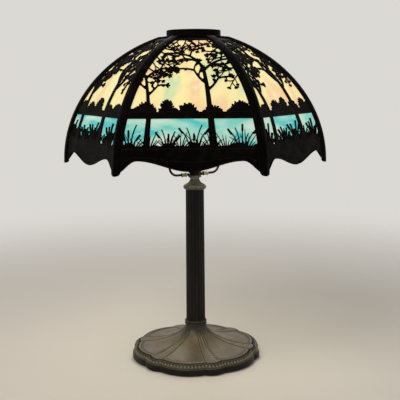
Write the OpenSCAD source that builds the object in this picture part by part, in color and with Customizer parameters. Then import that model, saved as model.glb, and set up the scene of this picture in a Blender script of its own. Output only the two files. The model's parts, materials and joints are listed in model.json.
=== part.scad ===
// Slag glass table lamp, sizes in millimetres, +Z up, front toward -Y

/* [Base] */
// Widest reach of the base outline
base_d = 230; // [210:1:250]
// Height of the base casting above its felt
base_h = 54; // [50:1:60]
// Upright plinth at the base edge
plinth_h = 9.5; // [9:0.5:12]
// Height of the slanted border above the plinth
border_h = 9; // [7:0.5:12]
// Inward slope of the border
border_in = 6; // [4:0.5:7]
// Depth of the notches between the lobes
notch = 4.5; // [2:0.5:6]
// Turn of the base about the column, from the front
base_turn = -11; // [-30:1:30]
// Wall of the base casting
base_wall = 4; // [3:0.5:5]
// Radius of the trumpet's neck
neck_r = 18.5; // [17.5:0.5:21]
// Height of the raised bands
band_t = 1.2; // [0.6:0.2:2]
// Thickness of the felt
felt_t = 2; // [1:0.5:3]
// Width of the felt ring
felt_w = 12; // [8:1:16]
// Radius of the cord inlet
inlet_r = 3.2; // [2.8:0.1:3.4]

/* [Column] */
// Outer radius of the stem pipe
pipe_r = 5; // [4.5:0.1:5.5]
// Wall of the stem pipe
pipe_wall = 1.6; // [1:0.1:2]
// Outer radius of the base collar
collar_r = 19.75; // [19:0.25:21]
// Height of the base collar
collar_h = 9; // [8:0.5:11]
// Length of the reeded column
column_l = 236; // [200:2:280]
// Column radius at its foot
column_r = 17; // [16.5:0.1:17.5]
// Column radius at its head
head_r = 16; // [15.5:0.1:16.4]
// Radius of one reed
reed_r = 2.7; // [2.4:0.1:2.9]
// Bore of the column
bore_r = 11; // [9:0.5:11.5]
// Outer radius of the column cap
cap_r = 20.15; // [19.5:0.05:21]
// Height of the column cap
cap_h = 20.5; // [19:0.5:24]
// Radius of the bead round the cap
cap_bead = 4; // [3:0.25:4.5]
// Radius of the seating ring
ring_r = 11.5; // [10:0.5:12]
// Height of the seating ring
ring_h = 4; // [3:0.5:5]

/* [Harp] */
// Turn of the harp about the column
harp_turn = 35; // [0:5:60]
// Radius of the harp rod
rod_r = 2; // [1.6:0.1:2.2]
// Half width of the harp
harp_w = 51; // [47:1:56]
// Bend at the foot of the harp
foot_bend = 15; // [12:1:17]
// Bend of the harp's shoulder
shoulder_bend = 130; // [110:5:150]
// Bend of the harp's top
top_bend = 18; // [14:1:22]
// Height of the harp from its saddle to the rod at the top
harp_h = 226; // [216:1:240]
// Thickness of the saddle plate
saddle_t = 2; // [1.5:0.1:2.5]
// Length of a locking sleeve
sleeve_l = 10; // [8:0.5:10]
// Radius of a locking sleeve
sleeve_r = 3.8; // [3.4:0.1:4]
// Radius of the threaded stud
stud_r = 3.1; // [2.8:0.1:3.4]
// Height of the stud above its shoulder
stud_h = 13; // [11:0.5:14]

/* [Socket] */
// Height of the socket cap
socket_cap_h = 13; // [12:0.5:15]
// Outer radius of the socket shell
shell_r = 16.9; // [16.5:0.1:17.5]
// Height of the socket shell
shell_h = 43; // [41:1:46]
// Thickness of the socket's sheet metal
sheet_t = 0.9; // [0.7:0.1:1]
// Height of the porcelain core
core_h = 17; // [16:0.5:18]
// Radius of the key's shaft
shaft_r = 1.5; // [1.2:0.1:1.8]
// Turn of the key about the column
key_turn = 158; // [120:2:180]
// Width of the key's grip
key_w = 13; // [10:1:15]
// Radius of the bulb's screw cap
screw_r = 13; // [12.8:0.1:13]
// Radius of the bulb
bulb_r = 30; // [27:1:32]
// Length of the bulb
bulb_l = 105; // [100:1:112]

/* [Shade] */
// Radius of the shade over its corners
shade_r = 228.6; // [222:0.2:234]
// Radius of the panel bend
bend_r = 227.6; // [224:0.2:231]
// Thickness of the pierced panels
fret_t = 2.2; // [1.6:0.1:2.4]
// Thickness of the glass
glass_t = 3; // [2.4:0.1:3.4]
// Thickness of the corner ribs
rib_t = 2; // [1.2:0.1:2.4]
// Reach of a rib to each side of its corner
rib_w = 8; // [6:0.5:10]
// Outer radius of the crown ring
crown_r = 46; // [43:0.5:47]
// Height of the crown ring above its flange
crown_h = 12.5; // [10:0.5:14]
// Thickness of the crown flange
flange_t = 2; // [1.5:0.5:3]
// Reach of the crown flange at its flats
flange_r = 54; // [53:0.5:56]
// Lap of the panels under the crown flange
flange_lap = 2.25; // [1.5:0.25:3]
// Thickness of the spider
spider_t = 3; // [2:0.5:4]
// Radius of the finial's knob
finial_r = 5.6; // [5:0.2:6.2]

/* [Fretwork] */
// Border of the windows beside the corners
border_w = 8.5; // [7:0.5:10]
// Run up the bend to the top of the skirt
skirt_run = 39.3; // [36:0.1:42]
// Run up the bend to the shore bar
bar_run = 86.2; // [82:0.1:88]
// Height of the shore bar
bar_w = 9.8; // [8:0.1:13]
// Plain band below the crown
crown_band = 13.1; // [12:0.1:20]
// Height of the skirt's corner tips above the bend's axis
tip_low = 1.2; // [0:0.2:2]
// Height of the skirt's middle above the bend's axis
mid_low = 5.4; // [4:0.2:7]
// Height of the skirt's arches above the bend's axis
arch_low = 21.4; // [18:0.2:23]
// Narrowest opening
least_gap = 2.4; // [2:0.1:2.6]

/* [Hidden] */
$fn = 120;
// Gaps between fixed pieces, running bores and bent sheets
fit = 0.1;
run = 0.06;
layer = 0.2;
lip = 4;
panels = 6;
half = 180 / panels;

// Heights up the column
base_z = felt_t;
rim_z = base_z + plinth_h + border_h;
collar_z = base_z + base_h;
column_z = collar_z + collar_h;
cap_z = column_z + column_l;
ring_z = cap_z + cap_h;
saddle_z = ring_z + ring_h;
socket_z = saddle_z + saddle_t;
web_z = collar_z - 10;
pipe_z = web_z - 14;
pipe_top = socket_z + 8;

// Lobes of the base, each an arc through its crest and its notches
lobe_wide = 21;
lobe_slim = half - lobe_wide;
crest = base_d / 2;
valley = crest - notch;
function lobe_c(a) = (crest * crest - valley * valley) / (2 * (crest - valley * cos(a)));
trumpet_r = valley - border_in - 1.5;
cavity_r = valley - border_in - base_wall;
inlet_turn = base_turn + 180 - 90;
grip_r = inlet_r + 1;
inlet_z = base_z + fit + grip_r;

// Harp, in its own upright plane
leg_z = saddle_z + rod_r;
joint_x = 22;
rod_slack = 0.5;
turn_z = leg_z + foot_bend;
bow_z = saddle_z + harp_h;
bow_rise = sqrt(pow(shoulder_bend - top_bend, 2) - pow(shoulder_bend - harp_w, 2));
top_c = bow_z - top_bend;
straight_z = top_c - bow_rise;
bow_a = atan2(bow_rise, shoulder_bend - harp_w);
seat_z = bow_z + rod_r + 2;

// Socket and bulb
shell_z = socket_z + socket_cap_h - 3;
core_r = shell_r - sheet_t - 2 * fit - 0.8;
core_z = shell_z + 4;
tip_z = core_z + core_h + 2;
key_z = core_z + 5;
screw_z = core_z + core_h;
cap_top = tip_z + 26;
ball_z = tip_z + bulb_l - bulb_r;

// Shade, bent round an axis beside the column
spider_z = seat_z;
flange_z = spider_z + spider_t + 1.5;
rib_r1 = bend_r;
rib_r0 = rib_r1 - rib_t;
fret_r1 = rib_r0 - layer;
fret_r0 = fret_r1 - fret_t;
glass_r1 = fret_r0 - layer;
glass_r0 = glass_r1 - glass_t;
axis_x = shade_r * cos(half) - bend_r;
bend_drop = sqrt(pow(fret_r1, 2) - pow(flange_r - flange_lap - axis_x, 2));
axis_z = flange_z - bend_drop;
wide = 2 * shade_r;
function bend_turn(run) = run / fret_r1 * 180 / PI;
top_turn = asin(bend_drop / fret_r1);
skirt_top = bend_turn(skirt_run);
bar_low = bend_turn(bar_run);
bar_high = bend_turn(bar_run + bar_w);
bar_mid = (bar_low + bar_high) / 2;
window_top = top_turn - bend_turn(crown_band);
sheet_top = top_turn + 3;
// The pattern was drawn for a shade of 228.6
grow = shade_r / 228.6;
high_plane = 45;
low_plane = 16;
ring_r0 = crown_r - 3;

// Base

function trumpet(r) =
  let (u = max(0, min(1, (r - neck_r) / (trumpet_r - neck_r))))
  rim_z + (collar_z - rim_z) * pow(1 - pow(u, 0.6), 1 / 0.6);

module lobes(inset) {
  for (k = [0:5]) {
    rotate(60 * k) translate([lobe_c(lobe_wide), 0]) circle(r = crest - lobe_c(lobe_wide) - inset);
    rotate(60 * k + 30) translate([lobe_c(lobe_slim), 0]) circle(r = crest - lobe_c(lobe_slim) - inset);
  }
}

// Slanted border of one lobe, carried a little past its notches
module lobe_border(a) {
  r = crest - lobe_c(a);
  near = trumpet_r - 12;
  far = base_d;
  reach = a + 5;
  intersection() {
    translate([lobe_c(a), 0, base_z + plinth_h]) cylinder(h = border_h, r1 = r - 0.8, r2 = r - border_in);
    linear_extrude(2 * rim_z) polygon([
      near * [cos(reach), sin(reach)], far * [cos(reach), sin(reach)], [far * 2, 0],
      far * [cos(reach), -sin(reach)], near * [cos(reach), -sin(reach)]]);
  }
}

module trumpet_solid(lift) {
  steps = 16;
  rotate_extrude() polygon(concat(
    [[0, base_z], [trumpet_r, base_z]],
    [for (i = [steps:-1:0]) let (r = neck_r + (trumpet_r - neck_r) * pow(i / steps, 2))
      [r, trumpet(r) + lift]],
    [[0, collar_z + lift]]));
}

module base_cavity() {
  steps = 10;
  first = pipe_r + 12;
  rotate_extrude() polygon(concat(
    [[0, 0], [cavity_r, 0], [cavity_r, base_z + plinth_h + 1]],
    [for (i = [steps:-1:0]) let (r = first + (cavity_r - 4 - first) * i / steps)
      [r, min(web_z, trumpet(r + base_wall) - base_wall)]],
    [[first, web_z], [0, web_z]]));
}

module bands() {
  near = neck_r + 5;
  far = trumpet_r - 2;
  for (k = [0:5], s = [-1, 1])
    rotate(60 * k + 30) polygon([[near, s * 2], [far, s * 8.5], [far, s * 11.5], [near, s * 4]]);
}

module base_casting() color("#6b6150") rotate(base_turn - 90) difference() {
  union() {
    trumpet_solid(0);
    translate([0, 0, base_z]) linear_extrude(plinth_h) lobes(0);
    for (k = [0:5]) {
      rotate(60 * k) lobe_border(lobe_wide);
      rotate(60 * k + 30) lobe_border(lobe_slim);
    }
    intersection() {
      trumpet_solid(band_t);
      translate([0, 0, base_z + 2]) linear_extrude(base_h) bands();
    }
  }
  base_cavity();
  cylinder(h = collar_z + 1, r = pipe_r + fit);
  rotate(180) translate([cavity_r - 3, -grip_r - fit, base_z - 1])
    cube([crest - cavity_r + 10, 2 * (grip_r + fit), 2 * (grip_r + fit) + 1]);
}

module base_felt() color("#2f3b2c") rotate(base_turn - 90) linear_extrude(felt_t) difference() {
  lobes(2);
  circle(r = cavity_r - felt_w + 10);
}

module cord_bushing() color("#1d1a17") rotate(inlet_turn) difference() {
  union() {
    translate([cavity_r - 3, -grip_r, inlet_z - grip_r]) cube([crest - cavity_r + 4, 2 * grip_r, 2 * grip_r]);
    translate([crest + fit, -grip_r - 1.5, inlet_z - grip_r])
      cube([1.5 - fit, 2 * grip_r + 3, 2 * grip_r + 0.8]);
  }
  translate([0, 0, inlet_z]) rotate([0, 90, 0]) cylinder(h = crest + 10, r = inlet_r);
}

// Column

module stem_pipe() color("#a58d55") difference() {
  translate([0, 0, pipe_z]) cylinder(h = pipe_top - pipe_z, r = pipe_r);
  cylinder(h = pipe_top + 1, r = pipe_r - pipe_wall);
}

module stem_washer() color("#8c8f90") translate([0, 0, web_z - 2]) difference() {
  cylinder(h = 2, r = pipe_r + 10);
  translate([0, 0, -1]) cylinder(h = 4, r = pipe_r + fit);
}

module stem_nut() color("#a58d55") translate([0, 0, web_z - 9]) difference() {
  cylinder(h = 7, r = (pipe_r + 3.5) / cos(30), $fn = 6);
  translate([0, 0, -1]) cylinder(h = 9, r = pipe_r + fit);
}

module base_collar() color("#3a352a") translate([0, 0, collar_z]) rotate_extrude() difference() {
  union() {
    square([collar_r - 2.2, collar_h]);
    for (z = [2.2, collar_h - 2.2]) translate([collar_r - 2.2, z]) circle(r = 2.2);
    square([bore_r - fit, collar_h + lip]);
  }
  square([2 * (pipe_r + fit), 4 * collar_h], center = true);
}

module column() color("#2a261c") difference() {
  lean = atan((column_r - head_r) / column_l);
  intersection() {
    union() {
      translate([0, 0, column_z]) cylinder(h = column_l, r1 = column_r - 1.1, r2 = head_r - 1.1);
      for (k = [0:17]) rotate(20 * k) translate([column_r - reed_r, 0, column_z]) rotate([0, -lean, 0])
        translate([0, 0, -1]) cylinder(h = column_l + 2, r = reed_r);
    }
    translate([0, 0, column_z]) cylinder(h = column_l, r = 2 * column_r);
  }
  translate([0, 0, column_z - 1]) cylinder(h = column_l + 2, r = bore_r);
}

module column_cap() color("#3a352a") translate([0, 0, cap_z]) rotate_extrude() difference() {
  waist = cap_r - cap_bead;
  sweep = cap_h - 2 * cap_bead;
  union() {
    translate([0, -lip]) square([bore_r - fit, lip + 1]);
    translate([waist, cap_bead]) circle(r = cap_bead);
    difference() {
      square([waist, cap_h]);
      translate([7.8 + sweep - 0.4, cap_h]) circle(r = sweep - 0.4);
    }
  }
  translate([0, -2 * lip]) square([pipe_r + fit, cap_h + 4 * lip]);
}

module seating_ring() color("#3a352a") translate([0, 0, ring_z]) rotate_extrude() difference() {
  union() {
    square([ring_r - ring_h / 2, ring_h]);
    translate([ring_r - ring_h / 2, ring_h / 2]) circle(r = ring_h / 2);
  }
  square([2 * (pipe_r + fit), 4 * ring_h], center = true);
}

// Harp

module harp_saddle() color("#9a8552") rotate(harp_turn) difference() {
  union() {
    translate([-15, -6.5, saddle_z]) cube([30, 13, saddle_t]);
    for (s = [0, 180]) rotate(s) translate([12, 0, leg_z]) rotate([0, 90, 0])
      cylinder(h = joint_x - 12, r = rod_r);
  }
  translate([0, 0, saddle_z - 1]) cylinder(h = saddle_t + 2, r = pipe_r + fit);
}

module arc_rod(x, z, r, a0, a1, rod) {
  slack = rod_slack / r * 180 / PI;
  translate([x, 0, z]) rotate([90, 0, 0]) rotate_extrude(angle = a1 - a0 - 2 * slack, start = a0 + slack)
    translate([r, 0]) circle(r = rod);
}

// Runs of the bent rod, joined by balls a hair wider than it
module harp_bow() color("#9a8552") rotate(harp_turn) union() {
  foot_x = harp_w - foot_bend;
  arc_x = harp_w - shoulder_bend;
  joins = [[foot_x, leg_z, 90], [harp_w, turn_z, 0], [harp_w, straight_z, 0],
    [arc_x + shoulder_bend * cos(bow_a), straight_z + shoulder_bend * sin(bow_a), -bow_a]];
  for (s = [0, 180]) rotate(s) {
    translate([joint_x, 0, leg_z]) rotate([0, 90, 0]) cylinder(h = foot_x - joint_x - rod_slack, r = rod_r);
    arc_rod(foot_x, turn_z, foot_bend, -90, 0, rod_r);
    translate([harp_w, 0, turn_z + rod_slack]) cylinder(h = straight_z - turn_z - 2 * rod_slack, r = rod_r);
    arc_rod(arc_x, straight_z, shoulder_bend, 0, bow_a, rod_r);
    for (j = joins) translate([j.x, 0, j.y]) rotate([0, j.z, 0]) sphere(r = rod_r + 0.1);
  }
  arc_rod(0, top_c, top_bend, bow_a, 180 - bow_a, rod_r);
}

module harp_stud() color("#9a8552") difference() {
  union() {
    translate([0, 0, bow_z]) cylinder(h = seat_z - bow_z, r = 5.5);
    translate([0, 0, seat_z]) cylinder(h = stud_h, r = stud_r);
  }
  rotate(harp_turn) arc_rod(0, top_c, top_bend, 45, 135, rod_r + 0.02);
}

module sleeve(side) {
  neck = sleeve_r - 0.7;
  l = sleeve_l;
  rotate(harp_turn + side) translate([joint_x - l / 2, 0, leg_z]) rotate([0, 90, 0]) rotate_extrude()
    polygon([
      [rod_r + run, 0], [neck, 0], [sleeve_r, 0.7], [sleeve_r, 2], [neck, 2.7], [neck, l - 2.7],
      [sleeve_r, l - 2], [sleeve_r, l - 0.7], [neck, l], [rod_r + run, l]]);
}

module locking_sleeve_1() color("#b39a5e") sleeve(0);

module locking_sleeve_2() color("#b39a5e") sleeve(180);

// Socket

module socket_cap() color("#9a8552") translate([0, 0, socket_z]) rotate_extrude() {
  rim = shell_r + fit;
  h = socket_cap_h;
  polygon([
    [pipe_r + fit, 0], [8, 0], [9.2, 1.2], [10.6, 3], [rim - 1.5, h - 5.5], [rim + sheet_t, h - 3.5],
    [rim + sheet_t, h], [rim, h], [rim, h - 3.1], [rim - 2.6, h - 4.4], [9, 4], [8, 9], [pipe_r + fit, 9]]);
}

module socket_shell() color("#a58d55") difference() {
  translate([0, 0, shell_z]) rotate_extrude() {
    translate([shell_r - sheet_t, 0]) square([sheet_t, shell_h]);
    for (z = [6, shell_h - 1.2]) translate([shell_r - 0.2, z]) circle(r = 1.2 - 0.4);
  }
  key_bore(shaft_r + 0.5);
}

module socket_liner() color("#c8b48a") difference() {
  translate([0, 0, shell_z + 1]) difference() {
    cylinder(h = shell_h - 2, r = shell_r - sheet_t - fit);
    translate([0, 0, -1]) cylinder(h = shell_h + 2, r = shell_r - sheet_t - fit - 0.8);
  }
  key_bore(shaft_r + 0.5);
}

module socket_core() color("#e8e4d8") difference() {
  translate([0, 0, core_z]) cylinder(h = core_h, r = core_r);
  key_bore(shaft_r + run);
}

module key_bore(r) {
  rotate(key_turn) translate([6, 0, key_z]) rotate([0, 90, 0]) cylinder(h = 20, r = r);
}

module screw_shell() color("#b9a15f") translate([0, 0, screw_z]) difference() {
  cylinder(h = 20, r = screw_r + 0.95);
  translate([0, 0, -1]) cylinder(h = 22, r = screw_r + 0.35);
}

module centre_contact() color("#b9a15f") translate([0, 0, screw_z]) cylinder(h = tip_z - screw_z, r = 4);

module switch_key() color("#1b1917") rotate(key_turn) translate([6.5, 0, key_z]) rotate([0, 90, 0]) {
  out = shell_r - 6.5 + 2;
  cylinder(h = out + 4, r = shaft_r);
  translate([0, 0, out]) cylinder(h = 4, r = shaft_r + 1.2);
  translate([-1.1, -key_w / 2 + 2, out + 3]) cube([2.2, key_w - 4, 9]);
  for (s = [-1, 1]) translate([-1.1, s * (key_w / 2 - 3), out + 9]) rotate([0, 90, 0])
    cylinder(h = 2.2, r = 3);
}

module bulb_cap() color("#c9c2ad") translate([0, 0, tip_z]) rotate_extrude() polygon([
  [0, 0], [4, 0], [4.6, 1.4], [9, 2.4], [screw_r - 0.6, 5], [screw_r, 6], [screw_r, 24],
  [screw_r - 0.6, 26], [0, 26]]);

module bulb_shape(r, foot) {
  drop = ball_z - foot;
  throat = screw_r - 0.6 - (bulb_r - r);
  spread = asin(r / norm([throat, drop])) - atan2(throat, drop);
  translate([0, ball_z]) intersection() {
    circle(r = r);
    translate([0, -r]) square([r, 2 * r]);
  }
  polygon([
    [0, foot], [throat, foot], [r * cos(spread), ball_z - r * sin(spread)], [0, ball_z - r * sin(spread)]]);
}

module bulb_glass() color("#f4efdd") rotate_extrude() difference() {
  bulb_shape(bulb_r, cap_top);
  bulb_shape(bulb_r - 0.9, cap_top - 0.1);
}

// Shade

function bend_x(a) = axis_x + fret_r1 * cos(a);

module on_panel(k) rotate(60 * k - 150) children();

module wedge(inset) {
  reach = (wide - 2 * inset) * tan(half);
  translate([0, 0, axis_z - bend_r / 4]) linear_extrude(2 * bend_r)
    polygon([[2 * inset, 0], [wide, reach], [wide, -reach]]);
}

module bent(r0, r1, a0, a1) {
  w = shade_r;
  translate([axis_x, 0, axis_z]) rotate([90, 0, 0]) rotate_extrude(angle = a1 - a0, start = a0, $fn = 360)
    translate([r0, -w]) square([r1 - r0, 2 * w]);
}

// The same bend as a run of narrow flats, for a sheet that is pierced all over
module flats(r0, r1, a0, a1) {
  w = shade_r;
  steps = 16;
  turns = [for (i = [0:steps]) a0 + (a1 - a0) * i / steps];
  translate([axis_x, w, axis_z]) rotate([90, 0, 0]) linear_extrude(2 * w) polygon(concat(
    [for (a = turns) r1 * [cos(a), sin(a)]],
    [for (i = [steps:-1:0]) r0 * [cos(turns[i]), sin(turns[i])]]));
}

module pane(r0, r1, a0, a1, inset) intersection() {
  bent(r0, r1, a0, a1);
  wedge(inset);
}

module above(z) translate([-wide, -wide, z]) cube([2 * wide, 2 * wide, bend_r]);

// Fretwork, drawn flat on a plane square to the bend

function up(a) = [sin(a), cos(a)];
function rise(a, plane) = fret_r1 * sin(a - plane);
function curve(p, q, r, n) =
  [for (i = [0:n]) let (u = i / n) (1 - u) * (1 - u) * p + 2 * u * (1 - u) * q + u * u * r];
function square_to(path, i) =
  let (d = path[min(i + 1, len(path) - 1)] - path[max(i - 1, 0)]) [-d.y, d.x] / norm(d);

module stroke(path, w0, w1) {
  n = len(path) - 1;
  half_w = [for (i = [0:n]) (w0 + (w1 - w0) * i / n) / 2];
  polygon(concat(
    [for (i = [0:n]) path[i] + half_w[i] * square_to(path, i)],
    [for (i = [n:-1:0]) path[i] - half_w[i] * square_to(path, i)]));
  translate(path[n]) circle(d = w1, $fn = 6);
}

module leaf(p, a, l) translate(p) rotate(-a)
  polygon([[0, -0.15 * l], [0.28 * l, 0.4 * l], [0, l], [-0.28 * l, 0.4 * l]]);

module bough(p, a, l, w, level, hand, seed) {
  jig = rands(-1, 1, 6, seed);
  curl = (14 + 8 * jig[0]) * hand;
  path = curve(p, p + 0.5 * l * up(a), p + l * up(a + curl), 4);
  tip_w = max(1.6, 0.66 * w);
  stroke(path, w, tip_w);
  if (level > 0) {
    turn = a + curl;
    less = level - 1;
    bough(path[2], a + (40 + 9 * jig[1]) * hand, (0.6 + 0.08 * jig[2]) * l, tip_w, less, hand, seed + 7);
    bough(path[4], turn - (26 + 8 * jig[3]) * hand, (0.7 + 0.08 * jig[4]) * l, tip_w, less, -hand, seed + 13);
    bough(path[4], turn + (24 + 8 * jig[5]) * hand, (0.62 + 0.08 * jig[2]) * l, tip_w, less, hand, seed + 29);
  } else {
    for (d = [-48, 0, 48]) leaf(path[4], a + curl + d + 12 * jig[1], 6);
    leaf(path[2], a + 62 * hand, 5);
  }
}

module window(a0, a1, plane) {
  n = 10;
  turns = [for (i = [0:n]) a0 + (a1 - a0) * i / n];
  side = [for (a = turns) [bend_x(a) * tan(half) - border_w / cos(half), rise(a, plane)]];
  polygon(concat(side, [for (i = [n:-1:0]) [-side[i].x, side[i].y]]));
}

module tree(x, lean, tall, w, seed) {
  trunk = curve([x, -2], [x + 0.3 * lean, 0.5 * tall - 2], [x + lean, tall - 2], 6);
  stroke(trunk, w, 0.6 * w);
  hand = sign(lean);
  bough(trunk[6], 14 * hand, 0.52 * tall, 0.5 * w, 2, hand, seed);
  bough(trunk[6], -30 * hand, 0.46 * tall, 0.5 * w, 2, -hand, seed + 3);
  bough(trunk[4], 52 * hand, 0.42 * tall, 0.42 * w, 1, -hand, seed + 5);
  bough(trunk[3], -50 * hand, 0.36 * tall, 0.4 * w, 1, hand, seed + 11);
}

module high_scene() translate([0, rise(bar_high, high_plane)]) scale(grow) {
  tree(30, -10, 76, 8.5, 52);
  tree(-62, -6, 60, 6.5, 23);
  shrubs = [[-88, 7], [-78, 10], [-34, 4], [-24, 8], [-13, 5], [10, 4], [60, 6], [70, 10], [82, 12], [94, 8]];
  for (s = shrubs) translate([s.x, -1]) circle(r = s.y, $fn = 16);
}

module reeds(x, seed) {
  tall = rands(24, 40, 5, seed);
  for (i = [0:4]) {
    foot = [x + 3 * (i - 2), -2];
    top = foot + tall[i] * up(13 * (i - 2));
    stroke(curve(foot, foot + 0.6 * tall[i] * up(3 * (i - 2)), top, 4), 2, 1.6);
    if (i % 2 == 0) stroke([top - 9 * up(18 * (i - 2)), top], 3.2, 3);
  }
}

module low_scene() translate([0, rise(skirt_top, low_plane)]) scale(grow) {
  tall = (rise(bar_low, low_plane) - rise(skirt_top, low_plane)) / grow + 2;
  stroke([[36, -2], [31, tall]], 13, 9);
  stroke([[-66, -2], [-62, tall]], 10, 7);
  reeds(-92, 5);
  reeds(-32, 9);
  reeds(6, 21);
  reeds(78, 33);
  tufts = [[-50, 6], [-14, 5], [24, 7], [58, 6], [66, 9], [100, 8]];
  for (s = tufts) translate([s.x, 0]) circle(r = s.y, $fn = 16);
}

module openings(a0, a1, plane) {
  offset(r = least_gap / 2, $fn = 4) offset(delta = -least_gap / 2) difference() {
    window(a0, a1, plane);
    children();
  }
}

module through(plane) {
  translate([axis_x, 0, axis_z]) rotate([0, -plane, 0]) translate([bend_r - 60, 0, 0]) rotate([90, 0, 90])
    linear_extrude(80) children();
}

module fret_panel(k) color("#14110d") on_panel(k) difference() {
  intersection() {
    flats(fret_r0, fret_r1, skirt_top + 0.01, sheet_top);
    wedge(0.15);
  }
  through(high_plane) openings(bar_high, window_top, high_plane) high_scene();
  through(low_plane) openings(skirt_top + 1.2, bar_low, low_plane) low_scene();
  above(flange_z - 0.1);
}

module skirt(k) color("#14110d") on_panel(k) difference() {
  pane(fret_r0, fret_r1, -4, skirt_top - 0.01, 0.15);
  side = shade_r * sin(half);
  crown_x = 0.7 * side;
  steps = 12;
  edge = concat(
    [for (i = [0:steps]) let (u = i / steps)
      [crown_x * u, mid_low + (arch_low - mid_low) * (1 - cos(180 * u)) / 2]],
    [for (i = [1:steps]) let (u = i / steps)
      [crown_x + (side - crown_x) * u, tip_low + (arch_low - tip_low) * (1 + cos(180 * u)) / 2]]);
  translate([0, 0, axis_z]) rotate([90, 0, 90]) linear_extrude(wide) polygon(concat(
    [for (i = [len(edge) - 1:-1:0]) [-edge[i].x, edge[i].y]], edge, [[side + 20, tip_low], [side + 20, -60],
    [-side - 20, -60], [-side - 20, tip_low]]));
}

module vault(k, r) on_panel(k) translate([axis_x, 0, axis_z]) rotate([90, 0, 0])
  cylinder(h = 2 * wide, r = r, center = true, $fn = 360);

// A rib is what two bends share near their corner, shelled
module corner_rib(k) color("#14110d") difference() {
  intersection() {
    vault(k, rib_r1);
    vault(k + 1, rib_r1);
    on_panel(k) rotate(half) translate([0, -rib_w, axis_z + tip_low + 1]) cube([wide, 2 * rib_w, bend_r]);
  }
  intersection() {
    vault(k, rib_r0);
    vault(k + 1, rib_r0);
  }
  translate([0, 0, flange_z - bend_r / 4]) cylinder(h = bend_r, r = (flange_r + fit) / cos(half), $fn = 6);
}

module upper_glass(k) color("#e9d9a0") on_panel(k)
  pane(glass_r0, glass_r1, bar_mid + 0.1, window_top + 1.5, 2);

module lower_glass(k) color("#8fd6c4") on_panel(k)
  pane(glass_r0, glass_r1, skirt_top - 2, bar_mid - 0.1, 2);

// A clip bridges each inside corner of the glass, held by a stud through the gap between the panes
module clip(a) {
  apart = acos(cos(a) * cos(a) * cos(2 * half) + sin(a) * sin(a)) / 2;
  reach = 11;
  dip = reach * tan(apart);
  pitch = atan2(sin(a), cos(a) * cos(half));
  depth = fret_r0 - glass_r0;
  length = depth / cos(apart) + dip;
  at = [(axis_x + glass_r0 * cos(a)) / cos(half), 0, axis_z + glass_r0 * sin(a)];
  translate(at) rotate([0, -pitch, 0]) {
    translate([-dip - 1.6, -reach, -5]) cube([1.4, 2 * reach, 10]);
    translate([-dip - 1, 0, 0]) rotate([0, 90, 0])
      cylinder(h = length + 1 - 1.2 * tan(apart) - 0.1, r = 1.2);
  }
}

module glass_clips() color("#7a6c4a") for (k = [1:6], a = [14, 34, 56]) on_panel(k) rotate(half) clip(a);

module crown_ring() color("#4a463b") difference() {
  union() {
    translate([0, 0, flange_z]) cylinder(h = flange_t, r = flange_r / cos(half), $fn = 6);
    translate([0, 0, flange_z]) cylinder(h = crown_h - 1.2, r = crown_r);
    translate([0, 0, flange_z + crown_h - 1.2]) rotate_extrude()
      translate([crown_r - 1.5, 0]) circle(r = 1.5);
  }
  translate([0, 0, flange_z - 1]) cylinder(h = crown_h + 9, r = ring_r0);
}

module crown_spider() color("#4a463b") difference() {
  union() {
    translate([0, 0, spider_z]) cylinder(h = spider_t, r = 10);
    for (k = [0:2]) rotate(120 * k + 90) {
      translate([5, -5, spider_z]) cube([ring_r0 - 3, 10, spider_t]);
      translate([ring_r0 - 1, -5, spider_z]) cube([3, 10, flange_z - spider_z]);
    }
  }
  translate([0, 0, spider_z - 1]) cylinder(h = spider_t + 2, r = stud_r + run);
}

module finial() color("#9a8552") translate([0, 0, spider_z + spider_t]) rotate_extrude() difference() {
  ball = 2.5 + 0.8 * finial_r;
  union() {
    square([7.5, 2]);
    square([4.6, ball]);
    translate([0, ball]) intersection() {
      circle(r = finial_r);
      translate([0, -finial_r]) square([finial_r, 2 * finial_r]);
    }
  }
  translate([0, -1]) square([stud_r + run, stud_h - spider_t + 1.5]);
}

base_casting();
base_felt();
cord_bushing();
stem_pipe();
stem_washer();
stem_nut();
base_collar();
column();
column_cap();
seating_ring();
harp_saddle();
harp_bow();
harp_stud();
locking_sleeve_1();
locking_sleeve_2();
socket_cap();
socket_shell();
socket_liner();
socket_core();
screw_shell();
centre_contact();
switch_key();
bulb_cap();
bulb_glass();
crown_ring();
crown_spider();
finial();
for (k = [1:6]) fret_panel(k);
for (k = [1:6]) skirt(k);
for (k = [1:6]) corner_rib(k);
for (k = [1:6]) upper_glass(k);
for (k = [1:6]) lower_glass(k);
glass_clips();
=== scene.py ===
import json
import math
import random

import bmesh
import bpy
import numpy as np
from mathutils import Matrix, Vector


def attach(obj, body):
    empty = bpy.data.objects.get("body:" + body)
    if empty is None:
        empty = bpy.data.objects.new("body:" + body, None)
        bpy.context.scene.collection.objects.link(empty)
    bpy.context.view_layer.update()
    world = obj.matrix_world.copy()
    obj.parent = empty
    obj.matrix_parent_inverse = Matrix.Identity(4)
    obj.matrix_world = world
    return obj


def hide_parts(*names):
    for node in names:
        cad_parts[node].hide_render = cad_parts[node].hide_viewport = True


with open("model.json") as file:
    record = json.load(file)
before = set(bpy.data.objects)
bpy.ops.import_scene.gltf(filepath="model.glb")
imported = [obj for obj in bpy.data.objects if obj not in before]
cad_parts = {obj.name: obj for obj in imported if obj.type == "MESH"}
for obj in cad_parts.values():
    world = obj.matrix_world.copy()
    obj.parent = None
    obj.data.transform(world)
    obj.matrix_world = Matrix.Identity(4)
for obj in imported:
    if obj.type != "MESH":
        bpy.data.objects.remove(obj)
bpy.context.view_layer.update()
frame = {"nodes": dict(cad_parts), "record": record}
nodes = frame["nodes"]
scene = bpy.context.scene
MM = 0.001
PANELS = range(1, 7)
LOBES = range(6)
SIDES = (-1, 1)

# Base, in millimetres and degrees, the same as its solid; insets are from the lobed outline

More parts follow.
